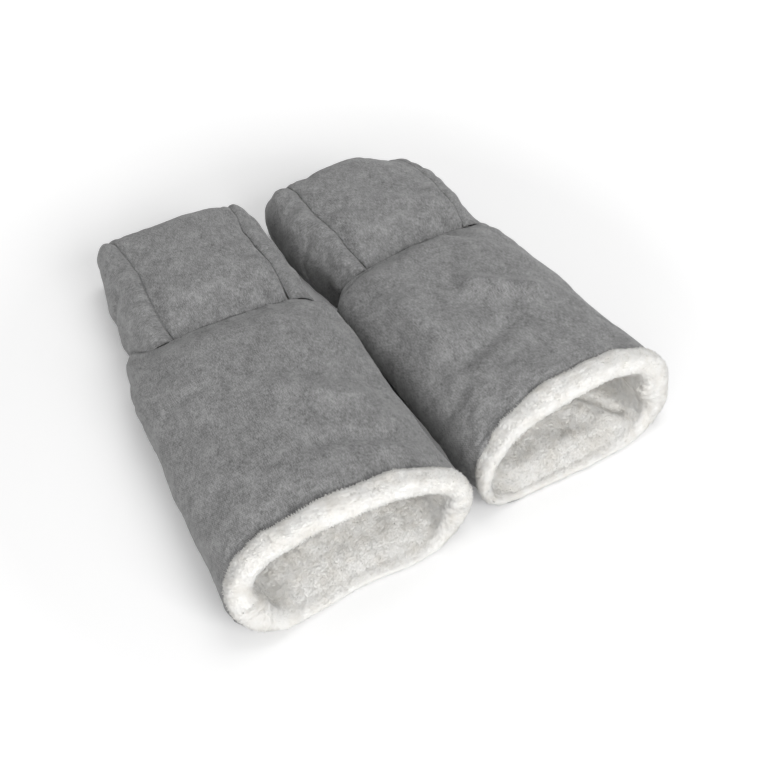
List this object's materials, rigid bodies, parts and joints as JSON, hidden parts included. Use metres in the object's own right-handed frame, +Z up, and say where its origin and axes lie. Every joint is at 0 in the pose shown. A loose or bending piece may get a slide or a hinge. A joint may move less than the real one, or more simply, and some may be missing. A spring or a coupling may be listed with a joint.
{
  "type": "stroller hand muff",
  "caption": "Pair of padded fabric hand muffs with plush-lined mouths and boxed caps that wrap round a stroller handlebar.",
  "frame": {"origin": "on the floor, under the middle of the pair's box", "axes": "+X across the pair from the left muff to the right, +Y from the mouths to the caps, +Z up"},
  "size_m": [0.3818, 0.401, 0.0756],
  "materials": {
    "grey_melange_fabric": "matt woven twill with a light and dark grey fleck",
    "white_plush": "deep soft off-white pile",
    "wadding": "loose fibre wadding",
    "elastic": "black woven elastic",
    "stud_metal": "dark nickel, satin"
  },
  "bodies": {
    "left_muff": {"left_body_top_shell": "grey_melange_fabric", "left_body_top_wadding": "wadding", "left_body_top_plush": "white_plush", "left_body_under_shell": "grey_melange_fabric", "left_body_under_wadding": "wadding", "left_body_under_plush": "white_plush", "left_cap_shell": "grey_melange_fabric", "left_cap_wadding": "wadding", "left_cap_plush": "white_plush", "left_gusset_left_shell": "grey_melange_fabric", "left_gusset_left_wadding": "wadding", "left_gusset_left_plush": "white_plush", "left_gusset_right_shell": "grey_melange_fabric", "left_gusset_right_wadding": "wadding", "left_gusset_right_plush": "white_plush", "left_mouth_cuff": "white_plush", "left_neck_elastic_left": "elastic", "left_snap_left_stud": "stud_metal", "left_snap_left_post": "stud_metal", "left_neck_elastic_right": "elastic", "left_snap_right_stud": "stud_metal", "left_snap_right_post": "stud_metal"},
    "left_flap": {"left_flap_shell": "grey_melange_fabric", "left_flap_wadding": "wadding", "left_flap_plush": "white_plush", "left_snap_left_cap": "stud_metal", "left_snap_left_socket": "stud_metal", "left_snap_right_cap": "stud_metal", "left_snap_right_socket": "stud_metal"},
    "right_muff": {"right_body_top_shell": "grey_melange_fabric", "right_body_top_wadding": "wadding", "right_body_top_plush": "white_plush", "right_body_under_shell": "grey_melange_fabric", "right_body_under_wadding": "wadding", "right_body_under_plush": "white_plush", "right_cap_shell": "grey_melange_fabric", "right_cap_wadding": "wadding", "right_cap_plush": "white_plush", "right_gusset_left_shell": "grey_melange_fabric", "right_gusset_left_wadding": "wadding", "right_gusset_left_plush": "white_plush", "right_gusset_right_shell": "grey_melange_fabric", "right_gusset_right_wadding": "wadding", "right_gusset_right_plush": "white_plush", "right_mouth_cuff": "white_plush", "right_neck_elastic_left": "elastic", "right_snap_left_stud": "stud_metal", "right_snap_left_post": "stud_metal", "right_neck_elastic_right": "elastic", "right_snap_right_stud": "stud_metal", "right_snap_right_post": "stud_metal"},
    "right_flap": {"right_flap_shell": "grey_melange_fabric", "right_flap_wadding": "wadding", "right_flap_plush": "white_plush", "right_snap_left_cap": "stud_metal", "right_snap_left_socket": "stud_metal", "right_snap_right_cap": "stud_metal", "right_snap_right_socket": "stud_metal"}
  },
  "joints": [
    {"name": "left_flap_opening", "type": "hinge", "parent": "left_muff", "child": "left_flap", "pos_m": [-0.07838, 0.19764, 0], "axis": [0.9986, -0.0529, 0], "range_deg": [0, 110]},
    {"name": "right_muff_apart", "type": "slide", "parent": "left_muff", "child": "right_muff", "axis": [1, 0, 0], "range_m": [0, 0.15]},
    {"name": "right_flap_opening", "type": "hinge", "parent": "right_muff", "child": "right_flap", "pos_m": [0.07838, 0.19764, 0], "axis": [0.9986, 0.0529, 0], "range_deg": [0, 110]}
  ]
}
